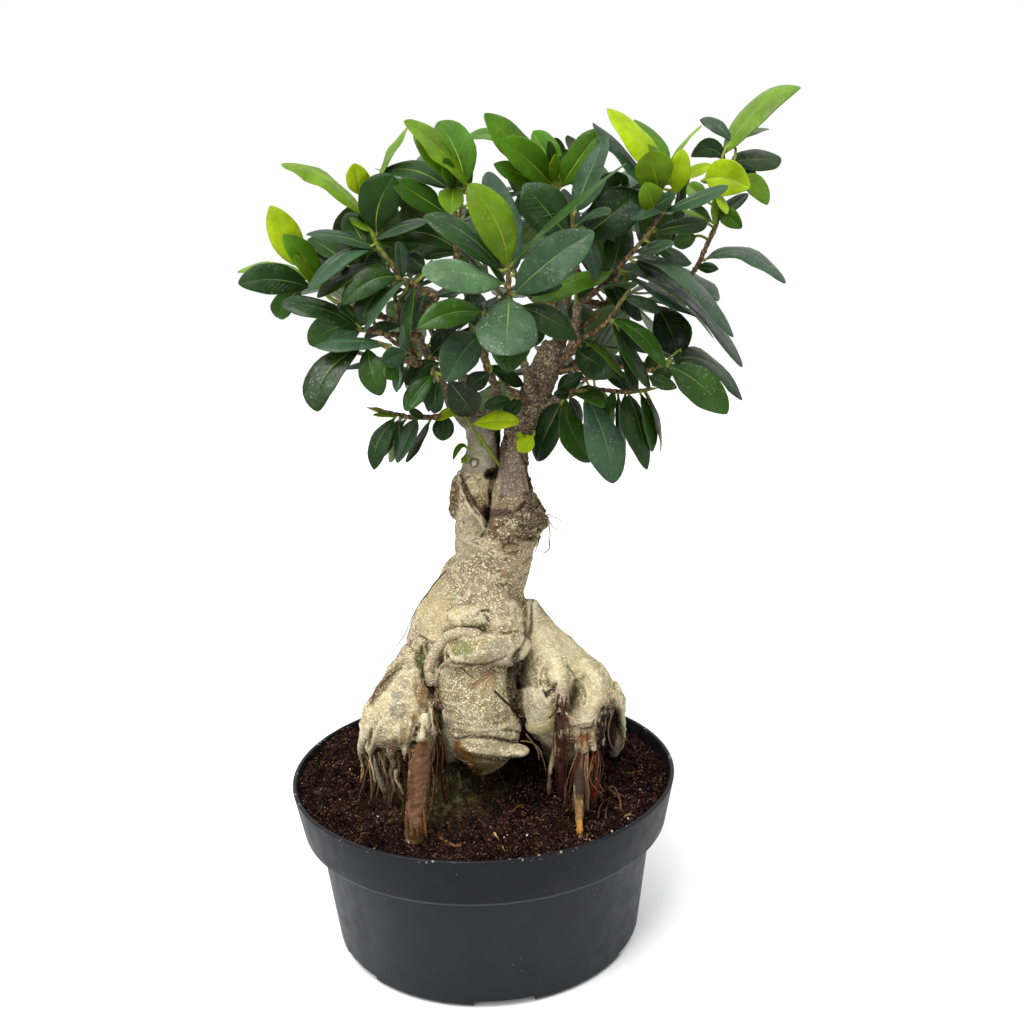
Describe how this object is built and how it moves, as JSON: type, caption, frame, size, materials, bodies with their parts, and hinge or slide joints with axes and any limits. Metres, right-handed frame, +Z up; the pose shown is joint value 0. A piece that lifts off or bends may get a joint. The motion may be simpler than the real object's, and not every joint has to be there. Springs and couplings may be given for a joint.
{
  "type": "ficus ginseng bonsai",
  "caption": "Ficus ginseng bonsai: a swollen pale rootstock standing on aerial roots, two grafted scions and a dense leafy crown, growing in soil in a round black nursery pot.",
  "frame": {"origin": "centre of the pot's flat underside, on the pot's axis, at the level it stands on", "axes": "+Z up along the pot's axis, -Y towards the viewer of the picture, +X to the viewer's right"},
  "size_m": [0.2506, 0.2173, 0.398],
  "materials": {
    "pot": "charcoal moulded plastic, satin with fine dust and scuffs",
    "soil": "dark fibrous peat, matt",
    "rootstock_bark": "pale tan bark with cream flecks and brown creases, matt",
    "scion_bark": "grey-brown bark with small pale dots, matt",
    "leaf_mature": "dark green waxy leaf, semi-gloss, pale midrib",
    "leaf_young": "yellow-green young leaf, semi-gloss"
  },
  "bodies": {
    "root": {"leaf_far_left": "leaf_mature", "leaf_far_right": "leaf_mature", "leaf_front": "leaf_mature", "leaf_front_left": "leaf_mature", "leaf_front_right": "leaf_mature", "leaf_front_upright": "leaf_young", "leaf_low_left": "leaf_mature", "leaf_low_right": "leaf_mature", "leaf_middle": "leaf_mature", "leaf_right_arching": "leaf_mature", "leaf_right_low": "leaf_mature", "pot": "pot", "rootstock": "rootstock_bark", "scion_left": "scion_bark", "scion_right": "scion_bark", "shoot_back_centre": "leaf_mature", "shoot_back_centre_low": "leaf_mature", "shoot_back_left": "leaf_mature", "shoot_back_left_high": "leaf_mature", "shoot_back_left_low": "leaf_mature", "shoot_back_right": "leaf_mature", "shoot_back_right_high": "leaf_mature", "shoot_back_right_low": "leaf_mature", "shoot_back_top_left": "leaf_mature", "shoot_back_top_right": "leaf_mature", "shoot_centre_back": "leaf_mature", "shoot_collar_leaves": "leaf_mature", "shoot_far_left": "leaf_young", "shoot_front_centre": "leaf_mature", "shoot_inner_front_left": "leaf_mature", "shoot_inner_front_right": "leaf_mature", "shoot_inner_left": "leaf_mature", "shoot_inner_low_left": "leaf_mature", "shoot_inner_low_right": "leaf_mature", "shoot_inner_middle": "leaf_mature", "shoot_inner_right": "leaf_mature", "shoot_inner_top": "leaf_mature", "shoot_left_bottom": "leaf_mature", "shoot_left_low": "leaf_mature", "shoot_left_lower": "leaf_mature", "shoot_left_mid": "leaf_mature", "shoot_left_node": "leaf_mature", "shoot_left_top": "leaf_young", "shoot_low_centre": "leaf_mature", "shoot_low_young": "leaf_young", "shoot_middle": "leaf_mature", "shoot_right_bottom": "leaf_mature", "shoot_right_far_top": "leaf_mature", "shoot_right_low": "leaf_mature", "shoot_right_mid": "leaf_mature", "shoot_right_top_young": "leaf_young", "shoot_right_twig": "leaf_mature", "shoot_top_centre": "leaf_young", "shoot_top_left": "leaf_young", "soil": "soil"}
  },
  "joints": []
}
